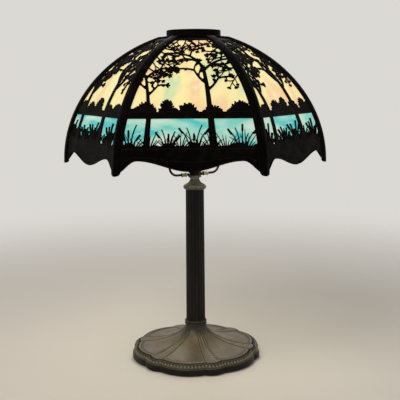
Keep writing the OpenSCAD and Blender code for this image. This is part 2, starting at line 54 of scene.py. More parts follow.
CREST, VALLEY = 115.0, 110.5
LOBE_WIDE, LOBE_SLIM = 21.0, 9.0
BASE_FOOT, BORDER_TOP, NECK_TOP = 2.0, 20.5, 56.0
NECK_R, TRUMPET_R, CAVITY_R, CAVITY_EDGE = 18.5, 103.0, 100.5, 12.0
TRUMPET_BEND, TRUMPET_INSET, LOBE_DISH = 0.6, 10.8, 0.9
WALL, WEB_Z, WEB_R, WEB_EDGE_R, STEM_HOLE_R = 4.0, 46.0, 17.0, 20.0, 5.1
BASE_TURN = -101.0
INLET_TURN, INLET_WIDE, INLET_TOP = 79.0, 8.6, 10.6
BORDER_PROFILE = [
    (0.7, 2.0), (0.2, 2.2), (0.0, 2.8), (0.0, 5.0), (0.0, 8.0), (0.0, 10.4), (0.25, 11.1), (0.8, 11.5),
    (1.5, 11.9), (2.0, 12.8), (2.7, 13.9), (3.5, 15.2), (4.3, 16.4), (5.1, 17.6), (5.7, 18.4), (6.3, 18.9),
    (7.0, 19.1), (7.6, 18.8), (8.1, 18.0), (8.6, 17.2), (9.3, 16.9), (9.9, 17.4), (10.2, 18.4), (10.4, 19.7)]

# Ornament of the base: gaps, insets, heights and radii of its raised lines and of the dark strips beside
# them, dirt and painted shade for the grooves

BAND_IN, BAND_OUT, BAND_NARROW, BAND_FLARE = 21.5, 97.5, 2.6, 7.4
BAND_LINES = ((0.0, 0.6), (2.1, 0.45))
BAND_GRIME_AND_SHADE = ((0.0, -0.8, 0.4), (2.1, 0.8, 0.45))
LOBE_LINES = ((13.6, 0.6), (16.4, 0.45))
LOBE_GRIME_AND_SHADE = ((14.6, 0.42), (17.3, 0.42))
RIM_BEADS = ((1.55, 11.9, 0.55), (6.9, 19.0, 0.6))
CHANNEL_INSET, CHANNEL_Z, CHANNEL_GRIME_AND_SHADE = 9.6, 17.3, 0.75
HUSK_IN, HUSK_OUT, HUSK_PITCH, HUSK_GROWTH, HUSK_LEAFED = 24.0, 93.0, 4.4, 0.075, 1.35
EGGS = 116
EGG_LOW, EGG_MIDDLE, EGG_HIGH = (2.2, 13.1), (3.5, 15.2), (5.2, 17.7)
FELT_INSET, FELT_IN_R, FELT_FUZZ = 2.3, 98.5, 0.25

# Shade, in millimetres, the same as its solids; window edges in degrees up the bend

AXIS_X, AXIS_Z = -29.6265, 349.8024
FRET_OUT, FRET_IN, RIB_OUT = 225.4, 223.2, 227.5
TRIM_IN, TRIM_OUT = FRET_IN + 0.3, FRET_OUT - 0.25
HALF = math.radians(30)
SHADE_R = 228.6
SHADE_SIDE = SHADE_R * math.sin(HALF)
SKIRT_TOP, BAR_LOW, BAR_HIGH, WINDOW_TOP = 9.99, 21.91, 24.4, 65.5
FILLET_LOW, FILLET_HIGH = 2.0, 66.0
TIP_LOW, MID_LOW, ARCH_LOW, ARCH_PLACE = 1.2, 5.4, 21.4, 0.7
DROP_WIDE, DROP_DEEP, DROP_TOP = 9.2, 3.8, 2.3
RIB_COVER, SPRAY_ROOT = 9.6, 8.3
FINIAL_Z, FINIAL_FOOT_R, FINIAL_R, FINIAL_BALL = 558.5, 7.4, 5.6, 565.48

# Growth in the windows: counts, spacings in millimetres, and the least and most of sizes drawn at random

TOP_SPRAYS, TOP_GAP, TOP_LONG = 5, 10.4, (26, 50)
SIDE_SPRAYS, SIDE_DROP, SIDE_GAP, SIDE_LONG = 6, 28, 13.0, (24, 46)
TWIG_LONG, LEAF_LONG, LEAF_WIDE = (8, 15), (3.6, 5.4), (2.6, 3.5)
CLUMPS, BLADES, BLADE_LONG = 8, 7, (13, 31)
BUSHES, BUSH_LEAVES, BUSH_HALF, BUSH_TALL = 5, 15, (9, 16), (9, 22)

# Where finishes and painted shade change, in millimetres: heights, reaches from the column's axis, distances
# from the bulb

PLINTH_SHADE, BORDER_DARKENING, NECK_SHADE = (12.1, 10.8), (20.9, 19.8), (36.0, 50.0)
OUTER_DIRT_AND_SHADE, REEDS = (56.0, 104.0), (15.0, 16.8)
BULB_MID, BULB_WARM, BULB_NEAR = 435.5, (386.0, 476.0), (110.0, 240.0)
# Shift of the patina's clouds, set so that grey-green falls on the front of the base: partly a painted
# reflection of the lit glass
CLOUD_SHIFT = (0.0, 130.0, 0.0)

# Camera: degrees, metres and pixels of the photograph's frame

SWING, PAN, PITCH, ROLL = 2.0, 0.39, 9.12, -0.4
CAMERA_PLACE = (0, -1.325, 0.494)
SENSOR, FOCAL_PX, FRAME_PX = 36, 763.8, 400


# Materials


def linear(hex_code):
    """An sRGB hex colour as linear RGBA."""
    parts = [int(hex_code[i:i + 2], 16) / 255 for i in (1, 3, 5)]
    return (*[p / 12.92 if p <= 0.04045 else ((p + 0.055) / 1.055) ** 2.4 for p in parts], 1.0)


def add(tree, kind, sockets=None, **settings):
    """Adds a node, sets its properties, and sets or links its input sockets."""
    node = tree.nodes.new(kind)
    for name, value in settings.items():
        setattr(node, name, value)
    for name, value in (sockets or {}).items():
        if isinstance(value, bpy.types.NodeSocket):
            tree.links.new(value, node.inputs[name])
        else:
            node.inputs[name].default_value = value
    return node


def new_finish(name):
    """A new material, its node tree, and in it the places on the object."""
    material = bpy.data.materials.new(name)
    material.use_nodes = True
    tree = material.node_tree
    tree.nodes.clear()
    return material, tree, add(tree, "ShaderNodeTexCoord").outputs["Object"]


def ramp_stops(node, stops):
    """Fills a colour ramp from (place, hex colour) pairs."""
    elements = node.color_ramp.elements
    while len(elements) < len(stops):
        elements.new(0.5)
    for element, (place, colour) in zip(elements, stops):
        element.position = place
        element.color = linear(colour)
    return node.outputs["Color"]


def per_mm(size):
    """A pattern's scale from the size of one feature in millimetres."""
    return 1000.0 / size


def span(limits):
    """Two places in millimetres as the limits that a range starts from."""
    return {"From Min": limits[0] * MM, "From Max": limits[1] * MM}


def patinated_spelter(name, stops, worn, specks=0.4, low=0.0, neck=0.0, outer=0.0):
    """Cast spelter with a bronze wash, rubbed and aged: brown and grey-green clouds a few centimetres
    wide, a cast grain and specks of dirt, both drawn coarse enough to show, paler where hands and dusters
    have worn the ridges, near black in the hollows, and darker: by outer toward the border in patches,
    dirt with painted shade for the lamp's light falling off, by low in the border and its channel, by
    neck up the neck under the collar as painted shade, and on the plinth's upright face as painted shade.
    A light worn colour, as on the turned cap and the collar, also paints a highlight along the ridges."""
    material, tree, place = new_finish(name)
    drift = add(tree, "ShaderNodeMapping", {"Vector": place, "Location": [v * MM for v in CLOUD_SHIFT]})
    clouds = add(tree, "ShaderNodeTexNoise",
                 {"Vector": drift.outputs[0], "Scale": per_mm(34), "Detail": 5.0, "Roughness": 0.62,
                  "Distortion": 0.6})
    wash = ramp_stops(add(tree, "ShaderNodeValToRGB", {"Fac": clouds.outputs[0]}), stops)
    speck = add(tree, "ShaderNodeTexNoise",
                {"Vector": place, "Scale": per_mm(3.2), "Detail": 3.0, "Roughness": 0.7})
    dirt = add(tree, "ShaderNodeMapRange",
               {"Value": speck.outputs[0], "From Min": 0.38, "From Max": 0.66, "To Max": specks})
    axes = add(tree, "ShaderNodeSeparateXYZ", {"Vector": place}).outputs
    flat = add(tree, "ShaderNodeCombineXYZ", {"X": axes["X"], "Y": axes["Y"]})
    reach = add(tree, "ShaderNodeVectorMath", {0: flat.outputs[0]}, operation="LENGTH")
    swell = add(tree, "ShaderNodeMath", {0: clouds.outputs[0], 1: 2.0}, operation="MULTIPLY")
    # dirt, and painted shade for the lamp's light falling off toward the border: darker in patches outward
    spread = add(tree, "ShaderNodeMapRange",
                 {"Value": reach.outputs["Value"], **span(OUTER_DIRT_AND_SHADE), "To Max": outer})
    outer_dirt_and_shade = add(tree, "ShaderNodeMath", {0: spread.outputs[0], 1: swell.outputs[0]}, operation="MULTIPLY")
    ridge = add(tree, "ShaderNodeNewGeometry").outputs["Pointiness"]
    # paler on the ridges: wear, and where a finish gives a light worn colour, as on the cap and the collar, a
    # painted highlight
    rub_and_highlight = add(tree, "ShaderNodeMapRange",
              {"Value": ridge, "From Min": 0.512, "From Max": 0.56, "To Max": 0.8})
    hollow = add(tree, "ShaderNodeMapRange",
                 {"Value": ridge, "From Min": 0.485, "From Max": 0.41, "To Max": 0.8})
    # darker low in the border and down into its channel
    border = add(tree, "ShaderNodeMapRange", {"Value": axes["Z"], **span(BORDER_DARKENING), "To Max": low})
    # painted shade: darker up the neck under the collar, where the collar keeps the lamp's light off
    neck_shade_mask = add(tree, "ShaderNodeMapRange", {"Value": axes["Z"], **span(NECK_SHADE), "To Max": neck})
    # painted shade: the plinth's upright face near black below the border
    plinth = add(tree, "ShaderNodeMapRange", {"Value": axes["Z"], **span(PLINTH_SHADE)})
    # Layers, in order: specks of dirt; dirt and painted shade toward the border; wear, which on the cap and
    # the collar also paints a highlight; darker low in the border; painted shade under the collar; patina in
    # the hollows; painted shade on the plinth's upright face
    tone = wash
    for share, colour in ((dirt, "#453b2d"), (outer_dirt_and_shade, "#33291f"), (rub_and_highlight, worn), (border, "#22261d"),
                          (neck_shade_mask, "#1d1912"), (hollow, "#1a1811"), (plinth, "#100c07")):
        layer = add(tree, "ShaderNodeMix", {0: share.outputs[0], 6: tone, 7: linear(colour)},
                    data_type="RGBA")
        tone = layer.outputs[2]
    grain = add(tree, "ShaderNodeTexNoise",
                {"Vector": place, "Scale": per_mm(1.4), "Detail": 4.0, "Roughness": 0.6})
    relief = add(tree, "ShaderNodeMath", {0: grain.outputs[0], 1: swell.outputs[0]}, operation="ADD")
    bump = add(tree, "ShaderNodeBump", {"Strength": 0.45, "Distance": 0.22 * MM, "Height": relief.outputs[0]})
    dull = add(tree, "ShaderNodeMapRange",
               {"Value": clouds.outputs[0], "From Min": 0.3, "From Max": 0.7, "To Min": 0.54, "To Max": 0.40})
    shader = add(tree, "ShaderNodeBsdfPrincipled",
                 {"Base Color": tone, "Metallic": 0.35, "Roughness": dull.outputs[0],
                  "Normal": bump.outputs[0], "Specular IOR Level": 0.3})
    add(tree, "ShaderNodeOutputMaterial", {"Surface": shader.outputs[0]})
    return material


def blackened_casting(name, wear=0.0):
    """Sand-cast white metal blackened and lacquered: almost black brown, a dull pebbled skin drawn coarse
    enough to show, with a warm brown bloom where the blacking has thinned and, by wear, dark bronze where
    raised beads have rubbed."""
    material, tree, place = new_finish(name)
    bloom = add(tree, "ShaderNodeTexNoise",
                {"Vector": place, "Scale": per_mm(22), "Detail": 4.0, "Roughness": 0.6})
    tone = ramp_stops(add(tree, "ShaderNodeValToRGB", {"Fac": bloom.outputs[0]}),
                      [(0.35, "#030202"), (0.52, "#070504"), (0.72, "#110b07")])
    if wear:
        ridge = add(tree, "ShaderNodeNewGeometry").outputs["Pointiness"]
        edge = add(tree, "ShaderNodeMapRange",
                   {"Value": ridge, "From Min": 0.52, "From Max": 0.6, "To Max": wear})
        thin = add(tree, "ShaderNodeMath", {0: edge.outputs[0], 1: bloom.outputs[0]}, operation="MULTIPLY")
        rubbed = add(tree, "ShaderNodeMix",
                     {0: thin.outputs[0], 6: tone, 7: linear("#32261a")}, data_type="RGBA")
        tone = rubbed.outputs[2]
    pebble = add(tree, "ShaderNodeTexNoise",
                 {"Vector": place, "Scale": per_mm(1.6), "Detail": 3.0, "Roughness": 0.6})
    bump = add(tree, "ShaderNodeBump", {"Strength": 0.5, "Distance": 0.25 * MM, "Height": pebble.outputs[0]})
    dull = add(tree, "ShaderNodeMapRange",
               {"Value": bloom.outputs[0], "From Min": 0.3, "From Max": 0.7, "To Min": 0.62, "To Max": 0.46})
    shader = add(tree, "ShaderNodeBsdfPrincipled",
                 {"Base Color": tone, "Roughness": dull.outputs[0], "Normal": bump.outputs[0],
                  "Specular IOR Level": 0.02})
    add(tree, "ShaderNodeOutputMaterial", {"Surface": shader.outputs[0]})
    return material


def dark_column_bronze():
    """Cast and bronzed reeding: dark brown with grime packed between the reeds, faint runs of worn bronze
    up their crests, and a cast grain drawn coarse enough to show."""
    material, tree, place = new_finish("dark_column_bronze")
    axes = add(tree, "ShaderNodeSeparateXYZ", {"Vector": place}).outputs
    flat = add(tree, "ShaderNodeCombineXYZ", {"X": axes["X"], "Y": axes["Y"]})
    reach = add(tree, "ShaderNodeVectorMath", {0: flat.outputs[0]}, operation="LENGTH")
    crest = add(tree, "ShaderNodeMapRange", {"Value": reach.outputs["Value"], **span(REEDS)})
    long_streak = add(tree, "ShaderNodeMapping", {"Vector": place, "Scale": (1.0, 1.0, 0.12)})
    streak = add(tree, "ShaderNodeTexNoise",
                 {"Vector": long_streak.outputs[0], "Scale": per_mm(5), "Detail": 4.0, "Roughness": 0.65})
    worn = add(tree, "ShaderNodeMath", {0: crest.outputs[0], 1: streak.outputs[0]}, operation="MULTIPLY")
    tone = ramp_stops(add(tree, "ShaderNodeValToRGB", {"Fac": worn.outputs[0]}),
                      [(0.0, "#030202"), (0.22, "#0c0906"), (0.45, "#19130d"), (0.64, "#30271c")])
    grain = add(tree, "ShaderNodeTexNoise",
                {"Vector": place, "Scale": per_mm(1.2), "Detail": 3.0, "Roughness": 0.6})
    bump = add(tree, "ShaderNodeBump", {"Strength": 0.4, "Distance": 0.2 * MM, "Height": grain.outputs[0]})
    shader = add(tree, "ShaderNodeBsdfPrincipled",
                 {"Base Color": tone, "Metallic": 0.3, "Roughness": 0.5, "Normal": bump.outputs[0],
                  "Specular IOR Level": 0.25})
    add(tree, "ShaderNodeOutputMaterial", {"Surface": shader.outputs[0]})
    return material


def streaked_glass(name, stops, wisps, wide, tall, glow):
    """Slag glass, rolled from two or three opal melts that never quite mix: soft streaks of colour,
    milky wisps, a slight roll ripple in the surface, and a painted glow, as emission, for the lit bulb's
    light through it, a little brighter nearer the bulb. Its streaks are wide and tall in millimetres."""
    material, tree, place = new_finish(name)
    drawn = add(tree, "ShaderNodeMapping",
                {"Vector": place, "Scale": (per_mm(wide), per_mm(wide), per_mm(tall))})
    streak = add(tree, "ShaderNodeTexNoise",
                 {"Vector": drawn.outputs[0], "Scale": 1.0, "Detail": 2.5, "Roughness": 0.5,
                  "Distortion": 0.9})
    spread = add(tree, "ShaderNodeMapRange",
                 {"Value": streak.outputs[0], "From Min": 0.32, "From Max": 0.68})
    tint = ramp_stops(add(tree, "ShaderNodeValToRGB", {"Fac": spread.outputs[0]}), stops)
    wisp = add(tree, "ShaderNodeTexNoise",
               {"Vector": drawn.outputs[0], "Scale": 3.4, "Detail": 5.0, "Roughness": 0.6, "Distortion": 1.6})
    milk = add(tree, "ShaderNodeMapRange",
               {"Value": wisp.outputs[0], "From Min": 0.52, "From Max": 0.74, "To Max": 0.42})
    milky = add(tree, "ShaderNodeMix",
                {0: milk.outputs[0], 6: tint, 7: linear(wisps)}, data_type="RGBA")
    to_bulb = add(tree, "ShaderNodeVectorMath",
                  {0: place, 1: (0.0, 0.0, BULB_MID * MM)}, operation="DISTANCE")
    # painted glow: the emission falls off with distance from the bulb
    near = add(tree, "ShaderNodeMapRange",
               {"Value": to_bulb.outputs["Value"], **span(BULB_NEAR), "To Min": glow, "To Max": 0.86 * glow})
    ripple = add(tree, "ShaderNodeTexNoise",
                 {"Vector": place, "Scale": per_mm(9), "Detail": 2.0, "Roughness": 0.5, "Distortion": 0.8})
    bump = add(tree, "ShaderNodeBump", {"Strength": 0.5, "Distance": 0.6 * MM, "Height": ripple.outputs[0]})
    unlit = add(tree, "ShaderNodeMix",
                {0: 0.9, 6: milky.outputs[2], 7: linear("#000000")}, data_type="RGBA")
    shader = add(tree, "ShaderNodeBsdfPrincipled",
                 {"Base Color": unlit.outputs[2], "Roughness": 0.42, "IOR": 1.5, "Normal": bump.outputs[0],
                  "Emission Color": milky.outputs[2], "Emission Strength": near.outputs[0]})
    add(tree, "ShaderNodeOutputMaterial", {"Surface": shader.outputs[0]})
    return material


def aged_brass(name, stops):
    """Drawn and spun brass gone dull, with a grain drawn coarse enough to show: tarnish in patches over a
    soft yellow metal, rubbed pale on the sleeves, and under a dark bronzing worn thin in places on the harp
    and the socket."""
    material, tree, place = new_finish(name)
    patch = add(tree, "ShaderNodeTexNoise",
                {"Vector": place, "Scale": per_mm(12), "Detail": 5.0, "Roughness": 0.65})
    tone = ramp_stops(add(tree, "ShaderNodeValToRGB", {"Fac": patch.outputs[0]}), stops)
    rough = add(tree, "ShaderNodeMapRange",
                {"Value": patch.outputs[0], "From Min": 0.3, "From Max": 0.7, "To Min": 0.5, "To Max": 0.3})
    grain = add(tree, "ShaderNodeTexNoise", {"Vector": place, "Scale": per_mm(0.9), "Detail": 3.0})
    bump = add(tree, "ShaderNodeBump", {"Strength": 0.25, "Distance": 0.1 * MM, "Height": grain.outputs[0]})
    shader = add(tree, "ShaderNodeBsdfPrincipled",
                 {"Base Color": tone, "Metallic": 0.85, "Roughness": rough.outputs[0],
                  "Normal": bump.outputs[0]})
    add(tree, "ShaderNodeOutputMaterial", {"Surface": shader.outputs[0]})
    return material


def plated_steel():
    """Zinc-plated pressed steel: cool grey with cloudy plating."""
    material, tree, place = new_finish("plated_steel")
    cloud = add(tree, "ShaderNodeTexNoise", {"Vector": place, "Scale": per_mm(5), "Detail": 4.0})
    tone = ramp_stops(add(tree, "ShaderNodeValToRGB", {"Fac": cloud.outputs[0]}),
                      [(0.35, "#8b8b86"), (0.65, "#b9b8b0")])
    shader = add(tree, "ShaderNodeBsdfPrincipled", {"Base Color": tone, "Metallic": 1.0, "Roughness": 0.36})
    add(tree, "ShaderNodeOutputMaterial", {"Surface": shader.outputs[0]})
    return material


def glazed_porcelain():
    """Glazed electrical porcelain: warm white, glossy, with a few iron specks."""
    material, tree, place = new_finish("glazed_porcelain")
    iron = add(tree, "ShaderNodeTexNoise", {"Vector": place, "Scale": per_mm(1.5), "Detail": 2.0})
    tone = ramp_stops(add(tree, "ShaderNodeValToRGB", {"Fac": iron.outputs[0]}),
                      [(0.26, "#b7a78c"), (0.34, "#e6e0d0"), (0.7, "#efeadd")])
    shader = add(tree, "ShaderNodeBsdfPrincipled", {"Base Color": tone, "Roughness": 0.14, "IOR": 1.54})
    add(tree, "ShaderNodeOutputMaterial", {"Surface": shader.outputs[0]})
    return material


def vulcanised_fibre():
    """Vulcanised paper fibre: tan, matt, with long flattened fibres, drawn coarse enough to show."""
    material, tree, place = new_finish("vulcanised_fibre")
    laid = add(tree, "ShaderNodeMapping", {"Vector": place, "Scale": (1.0, 1.0, 0.2)})
    strand = add(tree, "ShaderNodeTexNoise", {"Vector": laid.outputs[0], "Scale": per_mm(1.2), "Detail": 4.0})
    tone = ramp_stops(add(tree, "ShaderNodeValToRGB", {"Fac": strand.outputs[0]}),
                      [(0.3, "#a8905f"), (0.7, "#cbb68a")])
    shader = add(tree, "ShaderNodeBsdfPrincipled", {"Base Color": tone, "Roughness": 0.7, "IOR": 1.5})
    add(tree, "ShaderNodeOutputMaterial", {"Surface": shader.outputs[0]})
    return material


def moulded_bakelite():
    """Compression-moulded phenolic: black brown, half gloss, with a wood-flour mottle, drawn coarse enough
    to show."""
    material, tree, place = new_finish("moulded_bakelite")
    flour = add(tree, "ShaderNodeTexNoise", {"Vector": place, "Scale": per_mm(1.8), "Detail": 4.0})
    tone = ramp_stops(add(tree, "ShaderNodeValToRGB", {"Fac": flour.outputs[0]}),
                      [(0.35, "#120f0d"), (0.65, "#2a211b")])
    shader = add(tree, "ShaderNodeBsdfPrincipled", {"Base Color": tone, "Roughness": 0.28, "IOR": 1.6})
    add(tree, "ShaderNodeOutputMaterial", {"Surface": shader.outputs[0]})
    return material


def lit_opal_bulb():
    """An opal glass bulb, lit: warm white in the middle, where the filament is, yellower at its neck and
    its top, with faint clouds in the coat."""
    material, tree, place = new_finish("lit_opal_bulb")
    height = add(tree, "ShaderNodeSeparateXYZ", {"Vector": place}).outputs["Z"]
    coat = add(tree, "ShaderNodeTexNoise", {"Vector": place, "Scale": per_mm(14), "Detail": 3.0})
    cloudy = add(tree, "ShaderNodeMath", {0: coat.outputs[0], 1: 8 * MM, 2: height}, operation="MULTIPLY_ADD")
    warm = add(tree, "ShaderNodeMapRange", {"Value": cloudy.outputs[0], **span(BULB_WARM)})
    tone = ramp_stops(add(tree, "ShaderNodeValToRGB", {"Fac": warm.outputs[0]}),
                      [(0.0, "#fbd9a0"), (0.3, "#ffe9c0"), (0.6, "#fff8e8"), (0.8, "#fff1d0"),
                       (1.0, "#fbdca4")])
    shader = add(tree, "ShaderNodeBsdfPrincipled",
                 {"Base Color": linear("#4a4334"), "Roughness": 0.3, "IOR": 1.5, "Emission Color": tone,
                  "Emission Strength": 0.92})
    add(tree, "ShaderNodeOutputMaterial", {"Surface": shader.outputs[0]})
    return material


def wool_felt():
    """Pressed wool felt: dull green with pale hairs, drawn coarse enough to show, matt with a soft fuzz."""
    material, tree, place = new_finish("wool_felt")
    hair = add(tree, "ShaderNodeTexNoise",
               {"Vector": place, "Scale": per_mm(0.8), "Detail": 5.0, "Roughness": 0.75, "Distortion": 1.2})
    tone = ramp_stops(add(tree, "ShaderNodeValToRGB", {"Fac": hair.outputs[0]}),
                      [(0.32, "#1d271b"), (0.55, "#2f3b2c"), (0.72, "#566052")])
    bump = add(tree, "ShaderNodeBump", {"Strength": 0.6, "Distance": 0.3 * MM, "Height": hair.outputs[0]})
    shader = add(tree, "ShaderNodeBsdfPrincipled",
                 {"Base Color": tone, "Roughness": 0.95, "Sheen Weight": 0.4, "Normal": bump.outputs[0]})
    add(tree, "ShaderNodeOutputMaterial", {"Surface": shader.outputs[0]})
    return material


# neck paints shade under the collar, low darkens the border, outer adds dirt and painted shade toward the
# border
SPELTER = patinated_spelter(
    "patinated_spelter",
    [(0.30, "#4d4031"), (0.43, "#6a5c48"), (0.52, "#6d6351"), (0.62, "#736957"), (0.74, "#5b5b4b")],
    worn="#94886f", low=0.85, neck=0.8, outer=0.4)
RUBBED = patinated_spelter(
    "rubbed_spelter", [(0.30, "#332f25"), (0.50, "#474335"), (0.70, "#5d5948")], worn="#7c7765")
GRIMED = patinated_spelter(
    "grimed_spelter", [(0.30, "#332c22"), (0.50, "#4a4133"), (0.70, "#615844")],
    worn="#8f856d", low=0.7, neck=0.6)
# The light worn colour paints a highlight along the cap's bead and the seating ring, over some wear.
TURNED = patinated_spelter(
    "patinated_turned_bronze", [(0.30, "#3a3731"), (0.50, "#524f47"), (0.70, "#646058")],
    worn="#dedaca", specks=0.1)
# A near-black finish for the collar; its light worn colour paints a highlight along the collar's upper edge,
# over some wear.
DARK_COLLAR = patinated_spelter(
    "dark_collar_spelter", [(0.30, "#0f0d09"), (0.50, "#1b1812"), (0.70, "#2a251c")],
    worn="#d6d3c1", specks=0.1)
BLACKED = blackened_casting("blackened_casting")
BEADED = blackened_casting("rubbed_blackened_casting", wear=0.8)
REEDED = dark_column_bronze()
AMBER = streaked_glass(
    "amber_slag_glass",
    [(0.0, "#c9dfa9"), (0.22, "#efe6a4"), (0.45, "#fdeca3"), (0.66, "#fbe0a0"), (0.85, "#f6cf96"),
     (1.0, "#f8d79f")],
    wisps="#fbf3d6", wide=62, tall=150, glow=0.95)
TEAL = streaked_glass(
    "teal_slag_glass",
    [(0.0, "#d3ecd8"), (0.22, "#bce5d0"), (0.46, "#9bdfcd"), (0.66, "#66d2c8"), (0.86, "#3cc4c6"),
     (1.0, "#86dac9")],
    wisps="#daf0dd", wide=88, tall=30, glow=0.86)
BRASS = aged_brass("aged_brass", [(0.32, "#3a2f1b"), (0.5, "#69562f"), (0.68, "#8d7642")])
PALE_BRASS = aged_brass("rubbed_brass", [(0.32, "#6c6450"), (0.5, "#918973"), (0.68, "#b4ac98")])
BRONZED = aged_brass("bronzed_brass", [(0.36, "#15110b"), (0.55, "#2a2215"), (0.74, "#574626")])
FELT = wool_felt()

SLOT_FINISH = {"bronze": SPELTER, "dark_bronze": BLACKED, "brass": BRASS, "steel": plated_steel(),
               "amber_glass": AMBER, "green_glass": TEAL, "bulb_glass": lit_opal_bulb(), "felt": FELT,
               "porcelain": glazed_porcelain(), "liner": vulcanised_fibre(),
               "black_fibre": moulded_bakelite()}
OWN_FINISH = {"column": REEDED, "harp_saddle": BRONZED, "harp_bow": BRONZED, "locking_sleeve_1": PALE_BRASS,
              "locking_sleeve_2": PALE_BRASS, "socket_cap": BRONZED, "socket_shell": BRONZED,
              "crown_spider": BLACKED, "column_cap": TURNED, "seating_ring": TURNED, "base_collar": DARK_COLLAR}


# Mesh making


class Parts:
    """Points, in millimetres, and faces of the forms that make up one piece."""

    def __init__(self):
        self.points = []
        self.faces = []

    def add(self, points, faces):
        """Adds one form; its faces count from its own first point."""
        start = len(self.points)
        self.points.extend([tuple(p) for p in points])
        self.faces.extend([[i + start for i in f] for f in faces])


def piece(name, parts, material, body, smooth=True):
    """A new piece from its parts, riding on a body."""
    mesh = bpy.data.meshes.new(name)
    mesh.from_pydata((np.array(parts.points, float) * MM).tolist(), [], parts.faces)
    mesh.materials.append(material)
    shell = bmesh.new()
    shell.from_mesh(mesh)
    bmesh.ops.recalc_face_normals(shell, faces=shell.faces)
    shell.to_mesh(mesh)
    shell.free()
    mesh.polygons.foreach_set("use_smooth", [smooth] * len(mesh.polygons))
    made = bpy.data.objects.new(name, mesh)
    scene.collection.objects.link(made)
    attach(made, body)
    return made


def grid_faces(rings, around, closed=True):
    """Faces between rings of points one after another, from the last back to the first where closed."""
    faces = []
    for i in range(rings if closed else rings - 1):
        j = (i + 1) % rings
        for k in range(around):
            m = (k + 1) % around
            faces.append((i * around + k, i * around + m, j * around + m, j * around + k))
    return faces


def tube(parts, path, radius, sides=8, closed=False):
    """A round rod along a path of points."""
    path = np.asarray(path, float)
    count = len(path)
    ahead = np.roll(path, -1, 0) - np.roll(path, 1, 0)
    if not closed:
        ahead[0] = path[1] - path[0]
        ahead[-1] = path[-1] - path[-2]
    points = []
    for at, along in zip(path, ahead):
        along = along / np.linalg.norm(along)
        side = np.cross(along, (0.0, 0.0, 1.0))
        if np.linalg.norm(side) < 0.2:
            side = np.cross(along, (1.0, 0.0, 0.0))
        side /= np.linalg.norm(side)
        lift = np.cross(side, along)
        for k in range(sides):
            a = 2 * math.pi * k / sides
            points.append(at + radius * (math.cos(a) * side + math.sin(a) * lift))
    faces = grid_faces(count, sides, closed)
    if not closed:
        faces.append(tuple(range(sides - 1, -1, -1)))
        faces.append(tuple((count - 1) * sides + k for k in range(sides)))
    parts.add(points, faces)


def stud(parts, at, along, out, length, width, height, sides=8):
    """A half-sunk oval bead: along and out are its directions on the surface."""
    along = along / np.linalg.norm(along)
    out = out / np.linalg.norm(out)
    side = np.cross(out, along)
    tilts = (-12, 28, 68)
    points = []
    for tilt in tilts:
        t = math.radians(tilt)
        for k in range(sides):
            a = 2 * math.pi * k / sides
            across = length * math.cos(a) * along + width * math.sin(a) * side
            points.append(at + math.cos(t) * across + height * math.sin(t) * out)
    points.append(at + height * out)
    faces = grid_faces(len(tilts), sides, closed=False)
    top = len(points) - 1
    for k in range(sides):
        faces.append((top - sides + k, top - sides + (k + 1) % sides, top))
    faces.append(tuple(range(sides - 1, -1, -1)))
    parts.add(points, faces)


# Base


def full_turn(count):
    """Turns in degrees once round the base."""
    return np.arange(count) * 360 / count


def lobe_centre(a):
    """Distance from the axis to the centre of a lobe's arc, from half the lobe's width in degrees."""
    return (CREST * CREST - VALLEY * VALLEY) / (2 * (CREST - VALLEY * math.cos(math.radians(a))))


def rim(turn, inset):
    """Reach of the lobed outline at a turn in degrees from the middle of a wide lobe."""
    turn = np.asarray(turn, float)
    reach = np.zeros_like(turn)
    near_side = 1.2
    for k in LOBES:
        for middle, a in ((60 * k, LOBE_WIDE), (60 * k + 30, LOBE_SLIM)):
            c = lobe_centre(a)
            r = CREST - c - inset
            d = np.radians((turn - middle + 180) % 360 - 180)
            off = c * np.sin(d)
            here = (np.abs(d) < near_side) & (np.abs(off) < r)
            arc = c * np.cos(d) + np.sqrt(np.maximum(r * r - off * off, 0))
            reach = np.where(here, np.maximum(reach, arc), reach)
    return reach


def trumpet(r):
    """Height of the trumpet's surface at a reach from the axis."""
    u = np.clip((np.asarray(r, float) - NECK_R) / (TRUMPET_R - NECK_R), 0, 1)
    return BORDER_TOP + (NECK_TOP - BORDER_TOP) * (1 - u ** TRUMPET_BEND) ** (1 / TRUMPET_BEND)


def on_base(turn, r, z):
    """Points of the base from their turn in degrees, their reach and their height."""
    a = np.radians(np.asarray(turn, float) + BASE_TURN)
    r, z = np.broadcast_arrays(np.asarray(r, float), np.asarray(z, float))
    return np.stack([r * np.cos(a), r * np.sin(a), np.broadcast_to(z, a.shape)], -1)


def on_rim(turn, inset, z):
    """Points along the lobed outline, in from it by an inset."""
    return on_base(turn, rim(turn, inset), z)


def cut_inlet(base):
    """Cuts the slot for the cord's bushing through the back wall of the base."""
    tool = bpy.data.meshes.new("inlet_tool")
    corners = [(x, y, z) for x in (CAVITY_R - WALL, CREST + WALL) for y in (-INLET_WIDE / 2, INLET_WIDE / 2)
               for z in (BASE_FOOT - 1, INLET_TOP)]
    tool.from_pydata((np.array(corners) * MM).tolist(), [], [
        (0, 1, 3, 2), (4, 6, 7, 5), (0, 4, 5, 1), (2, 3, 7, 6), (0, 2, 6, 4), (1, 5, 7, 3)])
    cutter = bpy.data.objects.new("inlet_tool", tool)
    cutter.rotation_euler = (0, 0, math.radians(INLET_TURN))
    scene.collection.objects.link(cutter)
    cut = base.modifiers.new("inlet", "BOOLEAN")
    cut.operation = "DIFFERENCE"
    cut.solver = "EXACT"
    cut.object = cutter
    bpy.context.view_layer.update()
    done = bpy.data.meshes.new_from_object(base.evaluated_get(bpy.context.evaluated_depsgraph_get()))
    base.modifiers.clear()
    base.data = done
    bpy.data.objects.remove(cutter)


